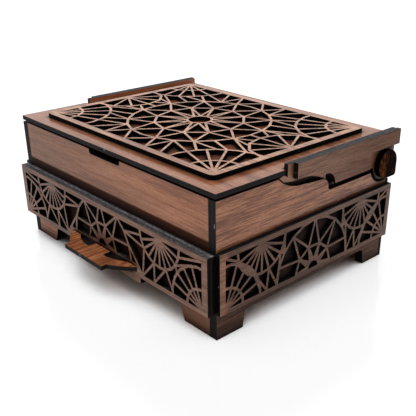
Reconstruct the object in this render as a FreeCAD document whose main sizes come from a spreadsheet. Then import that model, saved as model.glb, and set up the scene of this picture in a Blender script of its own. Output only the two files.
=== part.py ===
"""Jewelry box with a drawer, cut from thin sheet wood and glued up in layers.

Millimetres.  X runs across the box, Y from the drawer front to the back, Z up.
The case is drawn about its own middle, and every piece is then moved back by
case_shift, so that the whole box with its handle and hinge arms is centred.
"""
import os
import re
from math import atan2, cos, degrees, hypot, radians, sin, sqrt, tan

import FreeCAD
import Part
from FreeCAD import Placement, Rotation, Vector

os.makedirs("parts", exist_ok=True)
doc = FreeCAD.newDocument("jewelry_box")

# Sizes that are set by themselves
DRIVING = (
    ("board", 3.0, "thickness of the sheet that all boards are cut from"),
    ("case_width", 210.0, "over the doubled side walls"),
    ("case_depth", 160.0, "front face to back face of the case"),
    ("bay_height", 15.0, "underside of the drawer bay's floor"),
    ("bay_opening", 34.0, "free height of the drawer bay"),
    ("tray_depth", 31.9, "compartment floor to wall top"),
    ("back_drop", 1.6, "back wall's top below the side walls' top"),
    ("arch_height", 11.8, "free height between the feet"),
    ("arch_round", 3.5, "radius in the arches' upper corners"),
    ("front_foot", 29.0, "length of a foot along the front and back"),
    ("front_splay", 4.0, "slant of that foot's inner end"),
    ("side_foot", 21.0, "length of a foot along the sides"),
    ("side_splay", 1.5, "slant of that foot's inner end"),
    ("thumb_width", 34.0, "notch in the front wall's top edge"),
    ("thumb_depth", 3.3, "depth of that notch"),
    ("divider_height", 25.0, "compartment dividers above their floor"),
    ("tab_length", 15.0, "tabs that key one board into another"),
    ("clad_bottom", 17.2, "lower edge of the side fretwork"),
    ("clad_ledge", 2.7, "side fretwork's top below the arm recess"),
    ("pin_room", 5.5, "hinge axis in front of the back wall"),
    ("pivot_drop", 14.4, "hinge axis below the wall top"),
    ("pin_radius", 4.95, "hinge pin, pressed into the inner side board"),
    ("pin_play", 0.05, "radial running clearance of the pin in the arm"),
    ("knob_radius", 9.8, "disc on the end of the hinge pin"),
    ("knob_thick", 3.8, "thickness of that disc"),
    ("knob_corner", 2.0, "rounding of its square rear corner"),
    ("hub_radius", 11.3, "round rear end of the arm's inner plate"),
    ("hub_room", 2.2, "gap round the hub in the recess"),
    ("arm_reach", 103.0, "hinge axis to the tip of the arm"),
    ("arm_step", 57.3, "hinge axis to the step in the recess"),
    ("arm_tail", 12.7, "arm's outer plate behind the hinge axis"),
    ("side_play", 0.3, "gap between moving and fixed faces"),
    ("lid_gap", 1.4, "shadow gap between wall top and lid"),
    ("overlay_side", 15.0, "lid fretwork inside the case's sides"),
    ("overlay_end", 11.5, "lid fretwork inside the case's front and back"),
    ("overlay_border", 5.0, "solid border of that fretwork"),
    ("overlay_round", 4.0, "its corner radius"),
    ("bar_width", 1.6, "bars of all fretwork"),
    ("ring_width", 1.8, "curved bars of all fretwork"),
    ("least_cell", 4.0, "smallest opening cut in fretwork, square mm"),
    ("front_inset", 0.4, "drawer front's ends inside the case's sides"),
    ("front_low_lap", 0.3, "drawer front's lower edge below the bay floor's top"),
    ("front_high_lap", 0.2, "drawer front's upper edge above the tray floor"),
    ("tongue_half", 41.0, "half width of the drawer front's tongue"),
    ("tongue_drop", 4.0, "tongue below the drawer front's lower edge"),
    ("tongue_band", 8.8, "solid band above that edge, where the handle is set in"),
    ("drawer_play", 0.5, "gap beside the drawer box"),
    ("drawer_lift", 0.3, "gap under the drawer box"),
    ("drawer_height", 31.7, "drawer box walls"),
    ("drawer_back_gap", 2.3, "gap behind the drawer box"),
    ("handle_rise", 3.5, "handle above the drawer front's lower edge"),
    ("handle_reach", 15.9, "handle out of the drawer front's face"),
    ("handle_half", 37.8, "half width at the handle's wing tips"),
    ("handle_nose", 21.8, "half width at the handle's front edge"),
)

# Sizes that follow from them
DERIVED = (
    ("half_width", "case_width / 2"),
    ("layer_line", "half_width - board"),
    ("wall_in", "half_width - 2 * board"),
    ("half_depth", "case_depth / 2"),
    ("back_in", "half_depth - board"),
    ("bay_top", "bay_height + board"),
    ("shelf_height", "bay_top + bay_opening"),
    ("shelf_top", "shelf_height + board"),
    ("wall_top", "shelf_top + tray_depth"),
    ("pivot_y", "back_in - pin_room"),
    ("pivot_z", "wall_top - pivot_drop"),
    ("recess_radius", "hub_radius + hub_room"),
    ("recess_floor", "pivot_z - recess_radius"),
    ("clad_top", "recess_floor - clad_ledge"),
    ("lid_under", "wall_top + lid_gap"),
    ("lid_top", "lid_under + board"),
    ("overlay_top", "lid_top + board"),
    ("arm_in", "layer_line + side_play"),
    ("arm_mid", "arm_in + board"),
    ("arm_out", "arm_mid + board"),
    ("knob_in", "arm_mid + side_play"),
    ("front_low", "bay_top - front_low_lap"),
    ("front_high", "shelf_top + front_high_lap"),
    ("front_back", "half_depth + side_play"),
    ("front_mid", "front_back + board"),
    ("front_face", "front_mid + board"),
    ("drawer_half", "wall_in - drawer_play"),
    ("drawer_low", "bay_top + drawer_lift"),
    ("drawer_rear", "back_in - drawer_back_gap"),
    ("handle_low", "front_low + handle_rise"),
    ("case_shift", "(front_face + handle_reach - pivot_y - max(arm_tail; hub_radius)) / 2"),
)

sheet = doc.addObject("Spreadsheet::Sheet", "sizes")
for row, (name, number, note) in enumerate(DRIVING, 1):
    sheet.set("A%d" % row, name)
    sheet.set("B%d" % row, str(number))
    sheet.set("C%d" % row, note)
    sheet.setAlias("B%d" % row, name)
for row, (name, formula) in enumerate(DERIVED, len(DRIVING) + 1):
    sheet.set("A%d" % row, name)
    sheet.set("B%d" % row, "=" + formula)
    sheet.setAlias("B%d" % row, name)
doc.recompute()

NAMES = [entry[0] for entry in DRIVING] + [entry[0] for entry in DERIVED]
size = {name: float(sheet.get(name)) for name in NAMES}


def bound(text):
    """Point every size named in an expression at its cell."""
    return re.sub(r"\b[a-z_]+\b(?!\()", lambda word: "sizes." + word.group(), text)


PIECES = []
TO_SIDE = Rotation(Vector(1, 1, 1), 120)    # drawing plane to Y, Z; outward is +X
TO_FRONT = Rotation(Vector(1, 0, 0), 90)    # drawing plane to X, Z; outward is -Y
FLAT = Rotation()                           # drawing plane to X, Y; outward is +Z
AXIS = {"side": (TO_SIDE, "x"), "front": (TO_FRONT, "y"), "flat": (FLAT, "z")}


def box(x0, x1, y0, y1, z0, z1):
    """A block between six named planes."""
    block = doc.addObject("Part::Box", "block")
    for side, low, high in (("Length", x0, x1), ("Width", y0, y1), ("Height", z0, z1)):
        block.setExpression(side, bound("(%s) - (%s)" % (high, low)))
    for axis, low in (("x", x0), ("y", y0), ("z", z0)):
        block.setExpression("Placement.Base." + axis, bound(low))
    return block


def drum(radius, x0, x1):
    """A cylinder along X on the hinge axis."""
    solid = doc.addObject("Part::Cylinder", "drum")
    solid.setExpression("Radius", bound(radius))
    solid.setExpression("Height", bound("abs((%s) - (%s))" % (x1, x0)))
    outward = 1 if float(sheet.evalExpression(bound("(%s) - (%s)" % (x1, x0)))) > 0 else -1
    solid.Placement = Placement(Vector(), Rotation(Vector(0, 1, 0), 90 * outward))
    solid.setExpression("Placement.Base.x", bound(x0))
    solid.setExpression("Placement.Base.y", bound("pivot_y"))
    solid.setExpression("Placement.Base.z", bound("pivot_z"))
    return solid


def join(*parts):
    fused = doc.addObject("Part::MultiFuse", "joined")
    fused.Shapes = list(parts)
    fused.Refine = True
    return fused


def cut(base, *tools):
    if len(tools) > 1:
        group = doc.addObject("Part::Compound", "tools")
        group.Links = list(tools)
    else:
        group = tools[0]
    result = doc.addObject("Part::Cut", "cut")
    result.Base = base
    result.Tool = group
    result.Refine = True
    return result


def corner(before, point, after, radius):
    """Start, middle and end of the arc that rounds a corner."""
    ways = []
    for other in (before, after):
        length = hypot(other[0] - point[0], other[1] - point[1])
        ways.append(((other[0] - point[0]) / length, (other[1] - point[1]) / length))
    between = ways[0][0] * ways[1][0] + ways[0][1] * ways[1][1]
    half = atan2(sqrt(max(0.0, 1 - between * between)), between) / 2
    back = radius / tan(half)
    start, end = [(point[0] + w[0] * back, point[1] + w[1] * back) for w in ways]
    aim = (ways[0][0] + ways[1][0], ways[0][1] + ways[1][1])
    reach = (radius / sin(half) - radius) / hypot(*aim)
    return start, (point[0] + aim[0] * reach, point[1] + aim[1] * reach), end


def curves(items):
    """Closed run of lines and arcs.

    (x, y) is a corner, (x, y, r) a rounded corner, and (x, y, mx, my) the end of
    an arc that passes through (mx, my).
    """
    stops = []
    for i, item in enumerate(items):
        if len(item) == 3:
            before, after = items[i - 1], items[(i + 1) % len(items)]
            stops.append(corner(before, item, after, item[2]))
        else:
            stops.append((item[:2], None, item[:2]))
    found = []
    for i, item in enumerate(items):
        start = Vector(*stops[i - 1][2])
        end = Vector(*stops[i][0])
        if len(item) == 4:
            found.append(Part.Arc(start, Vector(*item[2:]), end))
        else:
            found.append(Part.LineSegment(start, end))
        if stops[i][1]:
            found.append(Part.Arc(end, Vector(*stops[i][1]), Vector(*stops[i][2])))
    return found


def both_halves(items):
    """Complete an outline given for x > 0 by its mirror image, arcs included."""
    other = []
    for i in range(len(items) - 1, -1, -1):
        point = items[i]
        after = items[i + 1] if i + 1 < len(items) else ()
        if len(after) == 4:
            other.append((-point[0], point[1], -after[2], after[3]))
        elif len(point) == 3:
            other.append((-point[0], point[1], point[2]))
        else:
            other.append((-point[0], point[1]))
    return items + other


def plate(items, plane, start, thick="board"):
    """A board cut to an outline, laid in one of the three planes."""
    turn, axis = AXIS[plane]
    sketch = doc.addObject("Sketcher::SketchObject", "outline")
    sketch.Placement = Placement(Vector(), turn)
    sketch.setExpression("Placement.Base." + axis, bound(start))
    for curve in curves(items):
        sketch.addGeometry(curve, False)
    return thicken(sketch, thick)


def thicken(flat, thick):
    board = doc.addObject("Part::Extrusion", "board")
    board.Base = flat
    board.DirMode = "Normal"
    board.Solid = True
    board.setExpression("LengthFwd", bound(thick))
    return board


def piece(label, thing):
    """Name a finished piece and move it to the centred frame."""
    thing.Label = label
    own = dict(thing.ExpressionEngine).get("Placement.Base.y", "0")
    own = dict(thing.ExpressionEngine).get(".Placement.Base.y", own)
    thing.setExpression("Placement.Base.y", "%s + sizes.case_shift" % own)
    PIECES.append(thing)
    return thing


# Fretwork: a layout of straight bars and rings, laid over a window

def on_ring(centre, radius, angle):
    return (centre[0] + radius * cos(radians(angle)), centre[1] + radius * sin(radians(angle)))


def fan(centre, inner, outer, angles):
    """Rays between two rings of one centre."""
    return [(on_ring(centre, inner, a), on_ring(centre, outer, a)) for a in angles]


def zigzag(centre, inner, outer, step, first, last):
    """Bars from each point of the outer ring to both neighbours on the inner."""
    bars = []
    angle = first
    while angle <= last + 0.1:
        tip = on_ring(centre, outer, angle)
        for side in (-step / 2, step / 2):
            if first - 0.1 <= angle + side <= last + 0.1:
                bars.append((on_ring(centre, inner, angle + side), tip))
        angle += step
    return bars


def mirror(bars, rings, flip_x, flip_y):
    """Repeat one quarter or half of a layout across the axes."""
    signs = [(1, 1)] + [(-1, 1)] * flip_x + [(1, -1)] * flip_y
    signs += [(-1, -1)] * (flip_x and flip_y)
    all_bars = [tuple((sx * p[0], sy * p[1]) for p in bar) for bar in bars for sx, sy in signs]
    all_rings = []
    for centre, radius, sides, first in rings:
        for sx, sy in signs:
            turned = degrees(atan2(sy * sin(radians(first)), sx * cos(radians(first))))
            all_rings.append(((sx * centre[0], sy * centre[1]), radius, sides, round(turned, 6)))
    return all_bars, sorted(set(all_rings))


def lid_layout(across, deep):
    """Star in a double ring, with quarter suns in the corners; half window sizes."""
    middle = (0.0, 0.0)
    hub, star, halo = 0.14 * deep, 0.50 * deep, 0.79 * deep
    bars = zigzag(middle, hub, star, 30, 0, 360)
    bars += zigzag(middle, star, halo, 30, 15, 375)
    rings = [(middle, hub, 12, 15), (middle, star, 12, 0), (middle, halo, 24, 0)]

    sun, glow = 0.30 * deep, 0.62 * deep
    nook, side = (across, deep), (across, 0.0)
    half_sun = 0.41 * deep
    quarter = fan(nook, 0, glow, (198, 216, 234, 252))
    quarter += [(on_ring(middle, halo, near), on_ring(nook, glow, far))
                for near, far in ((60, 198), (45, 207), (45, 225), (30, 234), (15, 252))]
    quarter += fan(side, 0, half_sun, (180, 150, 120))
    quarter += [(on_ring(middle, halo, near), on_ring(side, half_sun, far))
                for near, far in ((0, 180), (15, 165), (15, 142))]
    quarter += [(on_ring(middle, halo, near), (share * across, deep))
                for near, share in ((75, 0.0), (75, 0.26), (60, 0.26), (60, 0.44))]
    more, suns = mirror(quarter, [(nook, sun, 20, 180), (nook, glow, 20, 9),
                                  (side, half_sun, 12, 0)], True, True)
    return bars + more, rings + suns


def low_layout(half, low, seat, top):
    """Rising half star with suns along the edges, for a long low window."""
    rise = top - low
    middle = (0.0, seat)
    hub, star, halo = 0.17 * rise, 0.50 * rise, 1.04 * rise
    bars = zigzag(middle, hub, star, 36, 0, 180)
    bars += zigzag(middle, star, halo, 36, 18, 162)
    rings = [(middle, hub, 10, 18), (middle, star, 10, 0), (middle, halo, 20, 0)]

    nook = (half, low)
    sun, glow = 0.42 * rise, 0.86 * rise
    crown, large = (0.62 * half, top), 0.60 * rise
    right = fan(nook, 0, glow, (108, 126, 144, 162))
    right += fan(crown, 0, large, (198, 216, 234, 252, 270, 288, 306, 324, 342))
    ground = on_ring(nook, glow, 176)
    right += [
        (on_ring(crown, large, 252), (0.56 * half, low)),
        (on_ring(crown, large, 288), (0.56 * half, low)),
        (on_ring(crown, large, 288), ground),
        (on_ring(crown, large, 216), (0.44 * half, low)),
        (on_ring(crown, large, 252), (0.44 * half, low)),
        (on_ring(middle, halo, 20), (0.44 * half, low)),
        (on_ring(middle, halo, 36), on_ring(crown, large, 216)),
        (on_ring(middle, halo, 36), on_ring(crown, large, 190)),
        (on_ring(crown, large, 324), on_ring(nook, glow, 144)),
        (on_ring(crown, large, 324), on_ring(nook, glow, 108)),
        (on_ring(crown, large, 345), (half, top)),
    ]
    more, suns = mirror(right, [(nook, sun, 20, 0), (nook, glow, 20, 9),
                                (crown, large, 20, 0)], True, False)
    return bars + more, rings + suns


def strip(start, end, width):
    """A straight bar with square ends, run on by half its width."""
    length = hypot(end[0] - start[0], end[1] - start[1])
    along = Vector((end[0] - start[0]) / length, (end[1] - start[1]) / length, 0) * (width / 2)
    across = Vector(-along.y, along.x, 0)
    first, last = Vector(*start) - along, Vector(*end) + along
    corners = [first - across, last - across, last + across, first + across]
    return Part.Face(Part.makePolygon(corners + corners[:1]))


def ring(centre, radius, sides, first, width):
    """A round bar, or one of many straight sides with a corner at the first angle."""
    discs = []
    for rim in (radius + width / 2, radius - width / 2):
        if sides:
            turns = [first + 360.0 / sides * i for i in range(sides + 1)]
            edge = Part.makePolygon([Vector(*on_ring(centre, rim, a)) for a in turns])
        else:
            edge = Part.makeCircle(rim, Vector(*centre))
        discs.append(Part.Face(Part.Wire(edge)))
    return discs[0].cut(discs[1])


def outline_face(items):
    return Part.Face(Part.Wire(Part.__sortEdges__([c.toShape() for c in curves(items)])))


def fretwork(edge, window, layout, plane, start):
    """A board with every opening of a bar layout cut through it."""
    bars, rings = layout
    frame = outline_face(edge)
    opening = outline_face(window)
    solid = [strip(p, q, size["bar_width"]) for p, q in bars]
    solid += [ring(*one, size["ring_width"]) for one in rings]
    cells = [f for f in opening.cut(solid).Faces if f.Area > size["least_cell"]]
    net = doc.addObject("Part::Feature", "net")
    net.Shape = Part.makeFace([frame.OuterWire] + [f.OuterWire for f in cells],
                              "Part::FaceMakerBullseye")
    turn, axis = AXIS[plane]
    net.Placement = Placement(Vector(), turn)
    net.setExpression("Placement.Base." + axis, bound(start))
    return thicken(net, "board")


def arches(half, end, splay, foot):
    """Lower edge of a board between two feet, from the left corner rightward."""
    inner = half - foot
    high, soft = size["arch_height"], size["arch_round"]
    return [(-half, 0), (-inner, 0), (-inner + splay, high, soft),
            (inner - splay, high, soft), (inner, 0), (end, 0)]


board, wall_top = size["board"], size["wall_top"]
half_width, half_depth = size["half_width"], size["half_depth"]
layer_line, wall_in, back_in = size["layer_line"], size["wall_in"], size["back_in"]

# Tabs: each is drawn once, added to one board and cut from the other
floor_y = [("-back_in + 32", "-back_in + 32 + 2 * tab_length"),
           ("back_in - 32 - 2 * tab_length", "back_in - 32")]
floor_x = [("-wall_in / 2 - tab_length", "-wall_in / 2 + tab_length"),
           ("wall_in / 2 - tab_length", "wall_in / 2 + tab_length")]


def floor_tabs(low, high):
    """Tabs of a floor: into the right wall, the left wall and the back."""
    right = [box("wall_in", "layer_line", a, b, low, high) for a, b in floor_y]
    left = [box("-layer_line", "-wall_in", a, b, low, high) for a, b in floor_y]
    rear = [box(a, b, "back_in", "half_depth", low, high) for a, b in floor_x]
    return right, left, rear


bay_tabs = floor_tabs("bay_height", "bay_top")
shelf_tabs = floor_tabs("shelf_height", "shelf_top")
wall_tabs = {}
for name, near, far in (("right", "wall_in", "layer_line"), ("left", "-layer_line", "-wall_in")):
    wall_tabs[name] = box(near, far, "back_in", "half_depth",
                          "shelf_height - 2 * tab_length", "shelf_height - tab_length")

# Case: floors
for label, tabs, low, high in (("bay_floor", bay_tabs, "bay_height", "bay_top"),
                               ("compartment_floor", shelf_tabs, "shelf_height", "shelf_top")):
    sheet_floor = box("-wall_in", "wall_in", "-back_in", "back_in", low, high)
    piece(label, join(sheet_floor, *(tabs[0] + tabs[1] + tabs[2])))

# Case: side walls, each an inner and an outer board
pivot_y, pivot_z = size["pivot_y"], size["pivot_z"]
reach, step = size["arm_reach"], size["arm_step"]
recess, floor_v = size["recess_radius"], -4.6
drop = size["pivot_drop"]


def at_pivot(items):
    """Shift an outline given from the hinge axis."""
    moved = []
    for item in items:
        point = [item[0] + pivot_y, item[1] + pivot_z]
        if len(item) == 3:
            point.append(item[2])
        if len(item) == 4:
            point += [item[2] + pivot_y, item[3] + pivot_z]
        moved.append(tuple(point))
    return moved


side_foot = arches(half_depth, back_in, size["side_splay"], size["side_foot"])
inner_edge = side_foot + [(back_in, wall_top), (-half_depth, wall_top)]
meet = -sqrt(recess ** 2 - floor_v ** 2)
around = -(recess + sqrt(recess ** 2 - meet ** 2)) / 2
recess_edge = at_pivot([
    (0, -recess),
    (meet, floor_v, -sqrt(recess ** 2 - around ** 2), around),
    (-step + 2.7, floor_v),
    (-step, -2.0, -step + 0.8, floor_v + 0.7),
    (-step, -0.3),
    (-step - 6.2, 4.2, -step - 1.9, 2.5),
    (-reach + 20, 5.9),
    (-reach + 3.5, 11.0, -reach + 10, 7.9),
    (-reach - 0.5, drop),
])
outer_edge = side_foot + [(back_in, size["recess_floor"])] + recess_edge
outer_edge += [(-half_depth, wall_top)]

# the disc is round except for its lower rear corner, which the open lid meets
knob = size["knob_radius"]
slant = knob * sqrt(0.5)
knob_edge = at_pivot([(0, -knob, -slant, -slant), (knob, -knob, size["knob_corner"]), (knob, 0),
                      (0, knob, slant, slant), (-knob, 0, -slant, slant)])

clad_low, clad_high = size["clad_bottom"], size["clad_top"]
clad_edge = [(-half_depth, clad_low), (half_depth, clad_low),
             (half_depth, clad_high), (-half_depth, clad_high)]
window_end, window_low, window_high = half_depth - 4.3, clad_low + 3.0, clad_high - 3.5
clad_window = [(-window_end, window_low), (window_end, window_low),
               (window_end, window_high), (-window_end, window_high)]
clad_bars = low_layout(window_end, window_low, window_low, window_high)

for name, inner, outer, clad, number in (
        ("right", "wall_in", "layer_line", "half_width", 0),
        ("left", "-layer_line", "-half_width", "-half_width - board", 1)):
    sign = "" if name == "right" else "-"
    hole = drum("pin_radius", sign + "(wall_in - 1)", sign + "(layer_line + 1)")
    slots = bay_tabs[number] + shelf_tabs[number]
    inner_board = join(plate(inner_edge, "side", inner), wall_tabs[name])
    piece(name + "_side_inner", cut(inner_board, hole, *slots))
    piece(name + "_side_outer", plate(outer_edge, "side", outer))
    piece(name + "_side_fretwork",
          fretwork(clad_edge, clad_window, clad_bars, "side", clad))
    piece(name + "_hinge_pin", drum("pin_radius", sign + "wall_in", sign + "knob_in"))
    knob_start = "knob_in" if name == "right" else "-(knob_in + knob_thick)"
    piece(name + "_hinge_knob", plate(knob_edge, "side", knob_start, "knob_thick"))

# Case: back wall, front wall and apron
notch_z = size["recess_floor"]
back_foot = arches(half_width, half_width, size["front_splay"], size["front_foot"])
back_top = wall_top - size["back_drop"]
back_edge = back_foot + [(half_width, notch_z), (layer_line, notch_z), (layer_line, back_top),
                         (-layer_line, back_top), (-layer_line, notch_z),
                         (-half_width, notch_z)]
slots = bay_tabs[2] + shelf_tabs[2] + [wall_tabs["right"], wall_tabs["left"]]
piece("back_wall", cut(plate(back_edge, "front", "half_depth"), *slots))

thumb, dip = size["thumb_width"] / 2, wall_top - size["thumb_depth"]
front_edge = [(-wall_in, size["shelf_height"]), (wall_in, size["shelf_height"]),
              (wall_in, wall_top), (thumb, wall_top), (thumb, dip, 2), (-thumb, dip, 2),
              (-thumb, wall_top), (-wall_in, wall_top)]
piece("front_wall", plate(front_edge, "front", "-back_in"))

apron_foot = arches(wall_in, wall_in, size["front_splay"],
                    size["front_foot"] - (half_width - wall_in))
apron_edge = apron_foot + [(wall_in, size["bay_top"]), (-wall_in, size["bay_top"])]
piece("front_apron", plate(apron_edge, "front", "-back_in"))

# Case: dividers, half lapped where they cross
high = "shelf_top + divider_height"
middle = "shelf_top + divider_height / 2"
long_part = box("-wall_in", "wall_in", "-board / 2", "board / 2", "shelf_top", high)
long_laps, cross = [], {}
for name, place in (("right", "wall_in / 3"), ("left", "-wall_in / 3")):
    near, far = "%s - board / 2" % place, "%s + board / 2" % place
    long_laps.append(box(near, far, "-board / 2", "board / 2", middle, high))
    lap = box(near, far, "-board / 2", "board / 2", "shelf_top", middle)
    cross[name] = cut(box(near, far, "-back_in", "back_in", "shelf_top", high), lap)
piece("long_divider", cut(long_part, *long_laps))
piece("right_cross_divider", cross["right"])
piece("left_cross_divider", cross["left"])

# Lid: a panel keyed into two arms of two layers each, with fretwork on top
lid_v, top_v = drop + size["lid_gap"], size["overlay_top"] - pivot_z
hub = size["hub_radius"]
arm_low = -0.9
hub_meet = -sqrt(hub ** 2 - arm_low ** 2)
arm_inner_edge = at_pivot([
    (hub, top_v),
    (-reach + 7.0, top_v),
    (-reach + 7.0, lid_v - 1.9),
    (-reach + 3.2, lid_v, -reach + 5.2, lid_v - 0.5),
    (-reach, lid_v - 0.9),
    (-reach + 4.0, 11.5),
    (-reach + 14.0, 10.2, -reach + 10, 10.6),
    (-step - 6.2, 7.3, -reach + 28, 9.5),
    (-step + 2.5, 1.2, -step - 0.2, 5.2),
    (-step + 2.5, arm_low, 1.0),
    (hub_meet, arm_low),
    (hub, 0, 0, -hub),
])
arm_outer_edge = at_pivot([
    (size["arm_tail"], top_v),
    (-reach + 12.5, top_v),
    (-reach + 12.5, 12.1),
    (-step - 7.4, 5.7, -reach + 26.8, 10.6),
    (-step - 7.7, 8.9),
    (-step + 2.4, 0.5, -step - 0.1, 6.2),
    (-18.7, 0.5),
    (-18.7, 11.5),
    (size["arm_tail"], 11.5),
])
arm_tabs = {"right": [], "left": []}
for share in ("0.27", "0.65"):
    rear = "pivot_y - %s * arm_reach - tab_length / 2" % share
    fore = "pivot_y - %s * arm_reach + tab_length / 2" % share
    arm_tabs["right"].append(box("arm_in", "arm_mid", rear, fore, "lid_under", "lid_top"))
    arm_tabs["left"].append(box("-arm_mid", "-arm_in", rear, fore, "lid_under", "lid_top"))

for name, inner, outer in (("right", "arm_in", "arm_mid"), ("left", "-arm_mid", "-arm_out")):
    sign = "" if name == "right" else "-"
    hole = drum("pin_radius + pin_play", sign + "(arm_in - 1)", sign + "(arm_mid + 1)")
    piece(name + "_arm_inner", cut(plate(arm_inner_edge, "side", inner), hole, *arm_tabs[name]))
    piece(name + "_arm_outer", plate(arm_outer_edge, "side", outer))

shoulder = pivot_y - reach + 5.2
arm_in = size["arm_in"]
lid_edge = [(half_width, -half_depth), (half_width, shoulder), (arm_in, shoulder),
            (arm_in, half_depth), (-arm_in, half_depth), (-arm_in, shoulder),
            (-half_width, shoulder), (-half_width, -half_depth)]
piece("lid_panel", join(plate(lid_edge, "flat", "lid_under"),
                        *(arm_tabs["right"] + arm_tabs["left"])))

wide, deep = half_width - size["overlay_side"], half_depth - size["overlay_end"]
soft, rim = size["overlay_round"], size["overlay_border"]
overlay_edge = [(-wide, -deep, soft), (wide, -deep, soft), (wide, deep, soft), (-wide, deep, soft)]
overlay_window = [(-wide + rim, -deep + rim), (wide - rim, -deep + rim),
                  (wide - rim, deep - rim), (-wide + rim, deep - rim)]
piece("lid_fretwork", fretwork(overlay_edge, overlay_window,
                               lid_layout(wide - rim, deep - rim), "flat", "lid_top"))

# Drawer: front of two layers with a tongue below and a handle set through it
low, high_z = size["front_low"], size["front_high"]
front_half, tongue = half_width - size["front_inset"], size["tongue_half"]
tip_z, band = low - size["tongue_drop"], low + size["tongue_band"]
front_outline = [(-front_half, low), (-tongue, low), (-tongue, tip_z), (tongue, tip_z),
                 (tongue, low), (front_half, low), (front_half, high_z), (-front_half, high_z)]
end, sill, head = front_half - 4.8, low + 3.0, high_z - 3.5
front_window = [(-end, sill), (-tongue, sill), (-tongue, band), (tongue, band),
                (tongue, sill), (end, sill), (end, head), (-end, head)]
handle_high = "handle_low + board"
stem = box("-8", "8", "-front_face", "-front_back", "handle_low", handle_high)
keys = [box(a, b, "-front_face", "-front_mid", "handle_low", handle_high)
        for a, b in (("30", "36"), ("-36", "-30"))]
piece("drawer_front_board", cut(plate(front_outline, "front", "-front_back"), stem))
piece("drawer_front_fretwork",
      cut(fretwork(front_outline, front_window, low_layout(end, sill, band, head),
                   "front", "-front_mid"), stem, *keys))

face, nose = -size["front_face"], size["handle_nose"]
grip = -size["front_face"] - size["handle_reach"]
right_wing = [(nose, grip), (nose - 0.3, grip + 3.8),
              (size["handle_half"], face, nose + 8.6, face - 6.5),
              (27.5, face), (13, face - 5.8, 21, face - 3.6), (8.5, face - 5.7), (8.5, face)]
piece("drawer_handle",
      join(plate(both_halves(right_wing), "flat", "handle_low"), stem, *keys))

# Drawer: box behind the front, keyed at the corners
key_z = ("drawer_low + drawer_height / 3", "drawer_low + 2 * drawer_height / 3")
corner_keys = {"fore": [], "rear": []}
for x0, x1 in (("drawer_half - board", "drawer_half"), ("-drawer_half", "-drawer_half + board")):
    corner_keys["fore"].append(box(x0, x1, "-front_back", "-front_back + board", *key_z))
    corner_keys["rear"].append(box(x0, x1, "drawer_rear - board", "drawer_rear", *key_z))
bottom_keys = {"right": [], "left": []}
for a, b in (("-tab_length * 3", "-tab_length"), ("tab_length", "tab_length * 3")):
    bottom_keys["right"].append(box("drawer_half - board", "drawer_half", a, b,
                                    "drawer_low", "drawer_low + board"))
    bottom_keys["left"].append(box("-drawer_half", "-drawer_half + board", a, b,
                                   "drawer_low", "drawer_low + board"))
drawer_high = "drawer_low + drawer_height"
for name, number, x0, x1 in (("right", 0, "drawer_half - board", "drawer_half"),
                             ("left", 1, "-drawer_half", "-drawer_half + board")):
    wall = box(x0, x1, "-front_back", "drawer_rear", "drawer_low", drawer_high)
    piece("drawer_%s_side" % name,
          cut(wall, corner_keys["fore"][number], corner_keys["rear"][number],
              *bottom_keys[name]))
inner_x = ("-drawer_half + board", "drawer_half - board")
piece("drawer_inner_front",
      join(box(*inner_x, "-front_back", "-front_back + board", "drawer_low", drawer_high),
           *corner_keys["fore"]))
piece("drawer_back",
      join(box(*inner_x, "drawer_rear - board", "drawer_rear", "drawer_low", drawer_high),
           *corner_keys["rear"]))
piece("drawer_bottom",
      join(box(*inner_x, "-front_back + board", "drawer_rear - board",
               "drawer_low", "drawer_low + board"),
           *(bottom_keys["right"] + bottom_keys["left"])))

# Check every object before anything is written
doc.recompute()
faults = [o.Label for o in doc.Objects if {"Invalid", "Error"} & set(o.State)]
faults += [p.Label for p in PIECES if p.Shape.isNull() or not p.Shape.isValid()]
faults += [p.Label for p in PIECES if not p.Shape.isNull() and len(p.Shape.Solids) != 1]
if faults:
    raise RuntimeError("faulty objects: " + ", ".join(sorted(set(faults))))
for item in PIECES:
    item.Shape.exportStep("parts/%s.step" % item.Label)
print(len(PIECES), "pieces written")
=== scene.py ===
"""Looks for the jewelry box: walnut-faced boards with charred laser-cut edges.

Lengths in the tables are in millimetres and colours are linear. A table's names are the
endings of node names, and the first that fits is used.
"""
import math

import bpy
from mathutils import Matrix, Vector


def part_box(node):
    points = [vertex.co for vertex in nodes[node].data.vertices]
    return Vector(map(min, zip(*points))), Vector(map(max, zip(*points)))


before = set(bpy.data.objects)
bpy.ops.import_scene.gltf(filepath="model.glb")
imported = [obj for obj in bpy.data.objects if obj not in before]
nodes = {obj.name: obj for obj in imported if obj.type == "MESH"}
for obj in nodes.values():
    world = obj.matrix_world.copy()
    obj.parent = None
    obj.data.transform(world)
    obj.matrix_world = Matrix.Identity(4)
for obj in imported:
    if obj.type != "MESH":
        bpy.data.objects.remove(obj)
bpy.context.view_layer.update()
scene = bpy.context.scene
MM = 0.001
BLACK = (0.0, 0.0, 0.0)
WHITE = (1.0, 1.0, 1.0)

# The axis that each board's veneered faces look along
FACING = {
    "x": ("side_inner", "side_outer", "side_fretwork", "arm_inner", "arm_outer",
          "cross_divider", "drawer_left_side", "drawer_right_side", "hinge_knob", "hinge_pin"),
    "y": ("back_wall", "front_wall", "front_apron", "drawer_front_board",
          "drawer_front_fretwork", "drawer_inner_front", "drawer_back", "long_divider"),
    "z": ("bay_floor", "compartment_floor", "lid_panel", "lid_fretwork", "drawer_bottom",
          "drawer_handle"),
}
# The axis that the grain runs along, by facing axis or by piece
GRAIN = {"x": "y", "y": "x", "z": "x", "drawer_handle": "y", "hinge_knob": "z"}

# Walnut from its darkest streaks to its lightest, and its pores
DARK = (0.150, 0.043, 0.016)
MIDDLE = (0.300, 0.104, 0.042)
LIGHT = (0.430, 0.178, 0.086)
PORE = (0.045, 0.014, 0.007)
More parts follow.
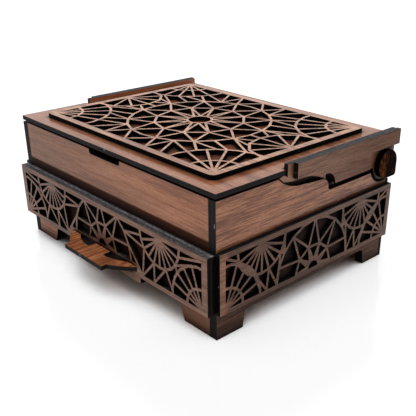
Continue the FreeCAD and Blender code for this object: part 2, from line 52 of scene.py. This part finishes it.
# The cut edges: burnt core, ash and a painted sheen on it where it looks up, browned veneer at
# its rim, bare board in a chip
CHAR = (0.0045, 0.0040, 0.0045)
ASH_AND_SHEEN = (0.037, 0.036, 0.037)
SKIN = (0.030, 0.016, 0.010)
CHIP = (0.30, 0.31, 0.33)

# What each piece's veneer is multiplied by. The bluer tones of the three fretworks are partly
# painted sheen: they grey the wood as a reflection of the white surroundings would.
TONE_AND_SHEEN = {"side_fretwork": (0.67, 0.73, 0.82), "drawer_front_fretwork": (0.50, 0.60, 0.78),
        "arm_outer": (0.50, 0.55, 0.62), "arm_inner": (0.62, 0.66, 0.70),
        "lid_fretwork": (1.20, 1.54, 1.90), "drawer_handle": (1.30, 1.16, 0.92),
        "lid_panel": (0.86, 0.86, 0.90), "hinge_knob": (0.30, 0.24, 0.18),
        "side_outer": (0.84, 0.81, 0.76), "front_wall": (0.96, 0.96, 0.96),
        "front_apron": (1.25, 1.20, 1.15)}
# How strong its figure is, and how wide the figure's broad bands are
FIGURE = {"drawer_handle": 2.4, "front_wall": 0.85, "side_outer": 3.0, "fretwork": 2.0,
          "arm_outer": 1.3}
BAND = {"drawer_handle": 2.6}
# Brightness that changes along a piece: the axis, two distances from the piece's low end, and
# the brightness at each. More than 1 shows as 1. The front wall's is painted light, falling off
# towards the box's left.
FADE = {"front_wall": ("x", 0.0, 160.0, 0.60, 1.0),
        "arm_outer": ("y", 10.0, 85.0, 1.0, 0.68),
        "drawer_handle": ("y", 7.2, 15.2, 0.68, 1.2),
        "side_fretwork": ("y", 4.0, 7.0, 1.0, 0.49)}
# How much ash and painted sheen lie on the edges that look up
ASH_AND_SHEEN_ON_TOP = {"arm_inner": 0.9, "arm_outer": 0.9, "drawer_front_board": 9.0,
        "drawer_front_fretwork": 2.8, "side_fretwork": 0.9, "drawer_handle": 1.0}
# How much varnish is on the veneer, how rough the varnish is, and how bare wood shines
VARNISH = {"lid_panel": 0.75, "lid_fretwork": 0.90, "hinge_knob": 0.0, "drawer_handle": 0.8,
           "front_wall": 0.55, "arm_outer": 0.50, "fretwork": 0.60}
VARNISH_ROUGHNESS = {"lid_panel": 0.12, "front_wall": 0.10, "side_outer": 0.12,
                     "arm_outer": 0.12, "drawer_handle": 0.20}
BARE_SHINE = {"hinge_knob": 0.0, "fretwork": 0.04, "drawer_front_board": 0.04}


def even(inset):
    """The same inset from both corners of a box along every axis."""
    return (inset,) * 3, (inset,) * 3


# A part of the outward face with a tone of its own: the node whose box it fills, the insets
# from that box's two corners, and the tone. Behind fretwork it is dark with smoke and painted
# shade, under the handle it is painted dark for the handle's shade, and inside the lid
# fretwork's border it is lighter with a painted sheen.
SHADE_AND_SHEEN_PATCH = {
    "side_outer": ("right_side_fretwork", even(0.3), (0.060, 0.038, 0.028)),
    "drawer_front_board": ("drawer_front_fretwork", even(0.4), (0.070, 0.045, 0.033)),
    "drawer_front_fretwork": ("drawer_handle", ((3.8, 0.0, -3.7), (3.8, 0.0, -2.3)),
                              (0.060, 0.045, 0.040)),
    "lid_panel": ("lid_fretwork", even(1.2), (0.52, 0.38, 0.30)),
    "lid_fretwork": ("lid_fretwork", even(6.0), (1.13, 1.16, 1.20)),
}
# Small pale chips in the charred edges: the centre, from the piece's low corner, and the
# half sizes
CHIPS = {
    "lid_panel": ((106.6, 0.0, 2.3), (0.35, 0.6, 0.9)),
    "lid_fretwork": ((180.0, 70.6, 1.5), (0.6, 0.25, 1.2)),
    "drawer_handle": ((34.7, 0.0, 1.7), (0.3, 0.6, 1.3)),
    "right_side_outer": ((1.8, 0.0, 72.4), (0.25, 0.6, 1.5)),
    "right_side_fretwork": ((1.9, 0.0, 19.3), (0.3, 0.6, 0.7)),
    "right_arm_outer": ((1.1, 0.0, 15.2), (0.8, 0.6, 0.35)),
}


def choose(table, name, default=None):
    for ending, value in table.items():
        if name.endswith(ending):
            return value
    return default


class Tree:
    """Short calls for building a node tree."""

    def __init__(self, owner):
        owner.use_nodes = True
        self.tree = owner.node_tree
        self.tree.nodes.clear()

    def new(self, kind, **settings):
        node = self.tree.nodes.new(kind)
        for name, value in settings.items():
            setattr(node, name, value)
        return node

    def put(self, socket, value):
        if isinstance(value, bpy.types.NodeSocket):
            self.tree.links.new(value, socket)
        elif isinstance(value, tuple) and socket.type == "RGBA":
            socket.default_value = (*value, 1)
        else:
            socket.default_value = value

    def fill(self, node, values):
        for socket, value in zip(node.inputs, values):
            self.put(socket, value)

    def math(self, operation, *values):
        node = self.new("ShaderNodeMath", operation=operation)
        self.fill(node, values)
        return node.outputs[0]

    def vector(self, operation, *values):
        node = self.new("ShaderNodeVectorMath", operation=operation)
        self.fill(node, values)
        return node.outputs["Value" if operation == "LENGTH" else "Vector"]

    def scale(self, colour, factor):
        node = self.new("ShaderNodeVectorMath", operation="SCALE")
        self.put(node.inputs[0], colour)
        self.put(node.inputs["Scale"], factor)
        return node.outputs[0]

    def mix(self, factor, a, b, blend="MIX"):
        node = self.new("ShaderNodeMix", data_type="RGBA", blend_type=blend)
        self.put(node.inputs[0], factor)
        self.put(node.inputs[6], a)
        self.put(node.inputs[7], b)
        return node.outputs[2]

    def tint(self, colour, by):
        return self.mix(1.0, colour, by, "MULTIPLY")

    def ramp(self, value, low, high, to_low=0.0, to_high=1.0):
        node = self.new("ShaderNodeMapRange", interpolation_type="SMOOTHSTEP")
        self.fill(node, (value, low, high, to_low, to_high))
        return node.outputs[0]

    def split(self, vector):
        node = self.new("ShaderNodeSeparateXYZ")
        self.put(node.inputs[0], vector)
        return node.outputs

    def shelter(self, distance, samples=6, inside=False):
        """Openness: 1 where nothing is within so many millimetres, 0 in tight places."""
        node = self.new("ShaderNodeAmbientOcclusion", samples=samples, inside=inside)
        node.inputs["Distance"].default_value = distance * MM
        return node.outputs["AO"]


class Board(Tree):
    """One piece's material: veneer on its faces and char on its cut edges."""

    def __init__(self, name, number):
        self.material = bpy.data.materials.new("mat_" + name)
        super().__init__(self.material)
        self.name = name
        axis = next(a for a, ends in FACING.items() if name.endswith(ends))
        self.index = "xyz".index(axis)
        self.along = choose(GRAIN, name, GRAIN[axis])
        self.low, self.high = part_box(name)
        # Every piece comes from its own place in the sheet
        self.shift = (3.7 * number + 0.3, 1.9 * number + 0.7, 5.3 * number + 0.1)
        coordinates = self.new("ShaderNodeTexCoord")
        self.place = coordinates.outputs["Object"]
        self.spot = self.split(self.place)
        self.normal = self.split(coordinates.outputs["Normal"])
        # 1 on the veneered faces, 0 on the cut edges
        self.face = self.ramp(self.math("ABSOLUTE", self.normal[self.index]), 0.80, 0.92)
        # On the outer boards, 1 on faces that look away from the origin, 0 on the others
        away = self.math("MULTIPLY", self.spot[self.index], self.normal[self.index])
        self.outward = self.ramp(away, -50 * MM, 50 * MM)
        self.varnish = choose(VARNISH, name, 0.72)

    def grain(self, length, width, detail, rough, warp=0.0):
        """Noise in features of length by width millimetres, long way along the grain."""
        grid = self.new("ShaderNodeMapping")
        self.put(grid.inputs["Vector"], self.place)
        grid.inputs["Scale"].default_value = [1 / (length if a == self.along else width) / MM
                                              for a in "xyz"]
        grid.inputs["Location"].default_value = self.shift
        noise = self.new("ShaderNodeTexNoise")
        self.put(noise.inputs["Vector"], grid.outputs[0])
        for setting, value in (("Scale", 1.0), ("Detail", detail), ("Roughness", rough),
                               ("Distortion", warp)):
            noise.inputs[setting].default_value = value
        return noise.outputs["Fac"]

    def veneer(self):
        """Straight-grained walnut: broad bands, streaks, fine lines and open pores."""
        band_width = choose(BAND, self.name, 8.0)
        band = self.grain(length=110, width=band_width, detail=2.0, rough=0.5, warp=0.5)
        streak = self.grain(length=34, width=1.0, detail=4.0, rough=0.6, warp=0.3)
        line = self.grain(length=12, width=0.40, detail=2.0, rough=0.55)
        fleck = self.grain(length=3.6, width=0.28, detail=1.0, rough=0.5)
        figure = 0.0
        for layer, share in ((band, 0.32), (streak, 0.33), (line, 0.35)):
            figure = self.math("MULTIPLY_ADD", layer, share, figure)
        spread = 0.135 / choose(FIGURE, self.name, 1.0)
        colours = self.new("ShaderNodeValToRGB")
        self.put(colours.inputs[0], self.ramp(figure, 0.5 - spread, 0.5 + spread))
        stops = colours.color_ramp.elements
        stops[0].color = (*DARK, 1)
        stops[1].color = (*LIGHT, 1)
        stops.new(0.5).color = (*MIDDLE, 1)
        pore = self.math("MULTIPLY", self.ramp(fleck, 0.60, 0.70),
                         self.ramp(streak, 0.40, 0.60, 0.35, 0.85))
        self.relief = self.math("SUBTRACT", self.math("MULTIPLY_ADD", line, 0.4, streak), pore)
        wood = self.mix(pore, colours.outputs[0], PORE)
        return self.tint(wood, choose(TONE_AND_SHEEN, self.name, WHITE))

    def soot_and_shade_in_recess(self, wood):
        """Soot and painted shade on the outward side, which shows only under the hinge arm."""
        # Painted shade: darkest where the recess's cut shelters it, and the varnish goes with
        # it
        shade_near_cut = self.ramp(self.shelter(9.0), 0.62, 0.90, 1.0, 0.15)
        soot = self.math("MULTIPLY", self.outward, shade_near_cut)
        self.varnish = self.math("MULTIPLY_ADD", soot, -self.varnish, self.varnish)
        return self.mix(soot, wood, CHAR)

    def paint_lid_bounce_inside(self, wood):
        """Painted light bounced from the lid: lighter and redder on the side that looks at the
        lid.
        """
        return self.tint(wood, self.mix(self.outward, (1.9, 1.5, 1.2), WHITE))

    def shade_above_ledge(self, wood):
        """A dull brown line of painted shade and painted dark reflection above the drawer
        front's upper edge.
        """
        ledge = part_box("drawer_front_board")[1][2]
        out_of_ledge_shade = self.ramp(self.spot[2], ledge + 5.6 * MM, ledge + 7.2 * MM)
        # The varnish is taken off the line so no reflection lightens it
        self.varnish = self.math("MULTIPLY", out_of_ledge_shade, self.varnish)
        return self.tint(wood, self.mix(out_of_ledge_shade, (0.15, 0.08, 0.04), WHITE))

    def thin_varnish_at_rear(self, wood):
        """Less varnish from the arm's tip to its hinge."""
        tip = self.low[1]
        self.varnish = self.ramp(self.spot[1], tip + 10 * MM, tip + 85 * MM, self.varnish, 0.18)
        return wood

    def scorch_and_darken_rear(self, wood):
        """Burnt in blotches, and darker towards the box's back."""
        front = self.low[1]
        darkness = self.ramp(self.spot[1], front + 5 * MM, front + 12 * MM, 0.0, 0.75)
        blotch = self.grain(length=5.0, width=2.2, detail=3.0, rough=0.6)
        blotch = self.ramp(blotch, 0.40, 0.58, 0.0, 0.9)
        darkness = self.math("MINIMUM", self.math("ADD", darkness, blotch), 0.97)
        return self.mix(darkness, wood, CHAR)

    def fade(self, wood):
        """Brightness that changes along the piece, where the table has it; on the front wall it
        is painted light.
        """
        row = choose(FADE, self.name)
        if row is None:
            return wood
        axis, start, end, at_start, at_end = row
        index = "xyz".index(axis)
        origin = self.low[index]
        light = self.ramp(self.spot[index], origin + start * MM, origin + end * MM,
                          at_start, at_end)
        return self.mix(light, BLACK, wood)

    def patch(self, wood):
        """A part of the outward face with its own tone of painted shade, smoke or painted
        sheen, where the table has one.
        """
        row = choose(SHADE_AND_SHEEN_PATCH, self.name)
        if row is None:
            return wood
        node, insets, tone = row
        low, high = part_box(node)
        within = self.outward
        for i in range(3):
            if i != self.index:
                start = low[i] + insets[0][i] * MM
                end = high[i] - insets[1][i] * MM
                reach = (end - start) / 2
                off = self.math("SUBTRACT", self.spot[i], (start + end) / 2)
                off = self.math("ABSOLUTE", off)
                within = self.math("MULTIPLY", within, self.ramp(off, reach, reach - 2 * MM))
        # A patch painted darker loses its varnish too, so no reflection lightens the painted
        # shade
        darkened = tone[0] < 1
        if darkened:
            bare = self.math("SUBTRACT", 1.0, within)
            self.varnish = self.math("MULTIPLY", self.varnish, bare)
        return self.mix(within, wood, self.tint(wood, tone))

    def cut_edge(self):
        """Soot on the core, ash and a painted sheen where it looks up, a thin brown line at
        each veneer.
        """
        soot = self.grain(length=14, width=0.55, detail=3.0, rough=0.6)
        soot = self.ramp(soot, 0.3, 0.7, 0.45, 1.65)
        grit = self.grain(length=1.8, width=0.8, detail=2.0, rough=0.6)
        grit = self.ramp(grit, 0.35, 0.68, 0.5, 1.6)
        amount = choose(ASH_AND_SHEEN_ON_TOP, self.name, 0.12)
        # Edges that look up are lighter: ash, and a painted sheen of the bright sky on the char
        looks_up = self.ramp(self.normal[2], 0.4, 0.9)
        edge = self.mix(looks_up, CHAR, tuple(c * amount for c in ASH_AND_SHEEN))
        edge = self.scale(edge, self.math("MULTIPLY", soot, grit))
        low = self.low[self.index]
        high = self.high[self.index]
        half = (high - low) / 2
        off = self.math("SUBTRACT", self.spot[self.index], (low + high) / 2)
        off = self.math("ABSOLUTE", off)
        skin = self.ramp(off, half - 0.50 * MM, half - 0.35 * MM, 0.0, 0.5)
        edge = self.mix(skin, edge, SKIN)
        if self.name in CHIPS:
            offset, reach = CHIPS[self.name]
            centre = Vector(self.low) + Vector(offset) * MM
            near = self.vector("SUBTRACT", self.place, centre)
            near = self.vector("DIVIDE", near, Vector(reach) * MM)
            chipped = self.ramp(self.vector("LENGTH", near), 0.8, 1.1, 0.85, 0.0)
            edge = self.mix(chipped, edge, CHIP)
        return edge

    def light_and_cleanness(self):
        """1 on open faces, less in tight places where painted shade falls and where dust and
        dirt gather.
        """
        tight = self.ramp(self.shelter(6.0), 0.45, 0.92, 0.02, 1.0)
        wide = self.ramp(self.shelter(22.0), 0.50, 0.90, 0.30, 1.0)
        clear = self.math("MULTIPLY", tight, wide)
        if self.name.endswith("arm_inner"):
            # The inner side stands over the lid and catches light from it
            lit = self.math("MULTIPLY_ADD", self.outward, -0.8, 0.8)
            clear = self.math("MAXIMUM", clear, lit)
        if self.name == "drawer_handle":
            clear = self.math("MAXIMUM", clear, 0.75)
        stands_on_floor = self.low[2] < 1 * MM
        if stands_on_floor:
            # Darker towards the floor, most at the box's right
            at_right = 0.48 if self.name == "front_apron" else 0.34
            across = self.ramp(self.spot[0], -60 * MM, 60 * MM, 1.0, at_right)
            above = self.ramp(self.spot[2], 10 * MM, 20 * MM)
            clear = self.math("MULTIPLY", clear, self.math("MAXIMUM", across, above))
        return clear

    def finish(self, colour, clear):
        """Dull char and bare wood, with the veneer's varnish as a coat over it."""
        shader = self.new("ShaderNodeBsdfPrincipled")
        self.put(self.new("ShaderNodeOutputMaterial").inputs["Surface"], shader.outputs[0])
        # The colour is multiplied by the painted shade and dirt
        self.put(shader.inputs["Base Color"], self.scale(colour, clear))
        self.put(shader.inputs["Roughness"], self.ramp(self.relief, 0.2, 0.9, 0.75, 0.60))
        self.put(shader.inputs["Specular IOR Level"], choose(BARE_SHINE, self.name, 0.12))
        self.put(shader.inputs["Coat Roughness"], choose(VARNISH_ROUGHNESS, self.name, 0.30))
        # The varnish is thinned by the painted shade and dirt too, except on the front wall
        coated = self.face
        if self.name != "front_wall":
            coated = self.math("MULTIPLY", coated, clear)
        self.put(shader.inputs["Coat Weight"], self.math("MULTIPLY", coated, self.varnish))
        bump = self.new("ShaderNodeBump")
        bump.inputs["Strength"].default_value = 0.12
        bump.inputs["Distance"].default_value = 0.2 * MM
        self.put(bump.inputs["Height"], self.relief)
        for socket in ("Normal", "Coat Normal"):
            self.put(shader.inputs[socket], bump.outputs[0])

    def paint(self):
        """The whole material, from the veneer's wood to its varnish."""
        wood = self.veneer()
        for ending, mark in MARKS.items():
            if self.name.endswith(ending):
                wood = mark(self, wood)
        wood = self.patch(self.fade(wood))
        # Heat has browned the veneer just beside a cut
        burn = 0.15 if self.name.endswith("fretwork") else 0.45
        beside_cut = self.ramp(self.shelter(0.9, 4, inside=True), 0.45, 0.95, burn, 0.0)
        wood = self.mix(beside_cut, wood, PORE)
        self.finish(self.mix(self.face, self.cut_edge(), wood), self.light_and_cleanness())
        return self.material


MARKS = {"side_inner": Board.soot_and_shade_in_recess, "arm_inner": Board.paint_lid_bounce_inside,
         "front_wall": Board.shade_above_ledge, "arm_outer": Board.thin_varnish_at_rear,
         "hinge_knob": Board.scorch_and_darken_rear}

for number, name in enumerate(sorted(nodes)):
    slots = nodes[name].data.materials
    slots.clear()
    slots.append(Board(name, number).paint())

# The floor, in metres and linear colours
FLOOR_REACH = 6.0
FLOOR_COLOUR = (0.93, 0.93, 0.93)
FLOOR_GLOW = (0.955, 0.956, 0.964)
FLOOR_ROUGHNESS = 0.16
# The painted shadow's colour deep under the box, at its left and at its right, browned with
# painted light bounced from the wood
PAINTED_SHADOW_LEFT = (0.07, 0.05, 0.04)
PAINTED_SHADOW_RIGHT = (0.36, 0.25, 0.18)
# How far the box's painted shadow and its faint rim reach, in millimetres
SHADOW_REACH = 42.0
RIM_REACH = 80.0
FLOOR_SAMPLES = 10


def make_floor():
    """White, slightly glossy, and bright to the camera outside the box's shadow, which is
    painted darker and browner under the box.
    """
    corners = [(x * FLOOR_REACH, y * FLOOR_REACH, 0)
               for x, y in ((-1, -1), (1, -1), (1, 1), (-1, 1))]
    plane = bpy.data.meshes.new("floor")
    plane.from_pydata(corners, [], [(0, 1, 2, 3)])
    floor = bpy.data.objects.new("floor", plane)
    scene.collection.objects.link(floor)
    material = bpy.data.materials.new("mat_floor")
    plane.materials.append(material)
    t = Tree(material)
    shader = t.new("ShaderNodeBsdfPrincipled")
    t.put(t.new("ShaderNodeOutputMaterial").inputs["Surface"], shader.outputs[0])
    x = t.split(t.new("ShaderNodeTexCoord").outputs["Object"])[0]
    # The painted shadow is sharper at the box's right, with a wide faint rim
    right = t.ramp(x, 50 * MM, 90 * MM)
    lit = t.shelter(SHADOW_REACH, FLOOR_SAMPLES)
    lit = t.ramp(lit, 0.29, t.math("MULTIPLY_ADD", right, -0.21, 0.71))
    rim = t.ramp(t.shelter(RIM_REACH, FLOOR_SAMPLES), 0.65, 0.95, -0.24, 0.0)
    lit = t.math("MULTIPLY", lit, t.math("MULTIPLY_ADD", right, rim, 1.0))
    under = t.mix(t.ramp(x, -70 * MM, 20 * MM), PAINTED_SHADOW_LEFT, PAINTED_SHADOW_RIGHT)
    ground = t.mix(t.ramp(lit, 0.0, 0.5), under, FLOOR_COLOUR)
    seen = t.new("ShaderNodeLightPath").outputs["Is Camera Ray"]
    glow = t.math("MULTIPLY", seen, lit)
    t.put(shader.inputs["Base Color"], t.mix(glow, ground, BLACK))
    t.put(shader.inputs["Emission Color"], FLOOR_GLOW)
    t.put(shader.inputs["Emission Strength"], glow)
    t.put(shader.inputs["Roughness"], FLOOR_ROUGHNESS)


def make_world():
    """White to the camera and in gloss, and a dome a little brighter overhead for the rest."""
    world = bpy.data.worlds.new("world")
    scene.world = world
    t = Tree(world)
    dome = t.new("ShaderNodeBackground")
    backdrop = t.new("ShaderNodeBackground")
    height = t.split(t.new("ShaderNodeTexCoord").outputs["Generated"])[2]
    t.put(dome.inputs["Strength"], t.ramp(height, -0.1, 0.9, 0.60, 0.80))
    for light in (dome, backdrop):
        t.put(light.inputs["Color"], WHITE)
    path = t.new("ShaderNodeLightPath").outputs
    shown = t.math("MAXIMUM", path["Is Camera Ray"], path["Is Glossy Ray"])
    both = t.new("ShaderNodeMixShader")
    t.fill(both, (shown, dome.outputs[0], backdrop.outputs[0]))
    t.put(t.new("ShaderNodeOutputWorld").inputs["Surface"], both.outputs[0])


def make_softbox(place, aim, side, watts):
    lamp = bpy.data.lights.new("softbox_top", "AREA")
    lamp.size = side
    lamp.energy = watts
    holder = bpy.data.objects.new("softbox_top", lamp)
    scene.collection.objects.link(holder)
    holder.location = place
    way = Vector(aim) - Vector(place)
    holder.rotation_euler = way.to_track_quat("-Z", "Y").to_euler()


def make_camera(place, azimuth, elevation, focal_length, shift):
    """The camera that was fitted to the photograph."""
    lens = bpy.data.cameras.new("camera")
    lens.lens = focal_length
    lens.sensor_width = 36.0
    lens.clip_start = 10 * MM
    lens.shift_x, lens.shift_y = shift
    camera = bpy.data.objects.new("camera", lens)
    scene.collection.objects.link(camera)
    back = Vector((math.sin(azimuth) * math.cos(elevation),
                   -math.cos(azimuth) * math.cos(elevation), math.sin(elevation)))
    turn = back.to_track_quat("Z", "Y").to_matrix().to_4x4()
    camera.matrix_world = Matrix.Translation(place) @ turn
    scene.camera = camera


make_floor()
make_world()
make_softbox(place=(0.0, -0.15, 1.2), aim=(0.0, 0.0, 0.05), side=0.9, watts=7.5)
make_camera(place=(0.34171, -0.28336, 0.22023), azimuth=math.radians(46.90),
            elevation=math.radians(25.56), focal_length=57.05, shift=(-0.0490, 0.0637))
scene.view_settings.view_transform = "Standard"
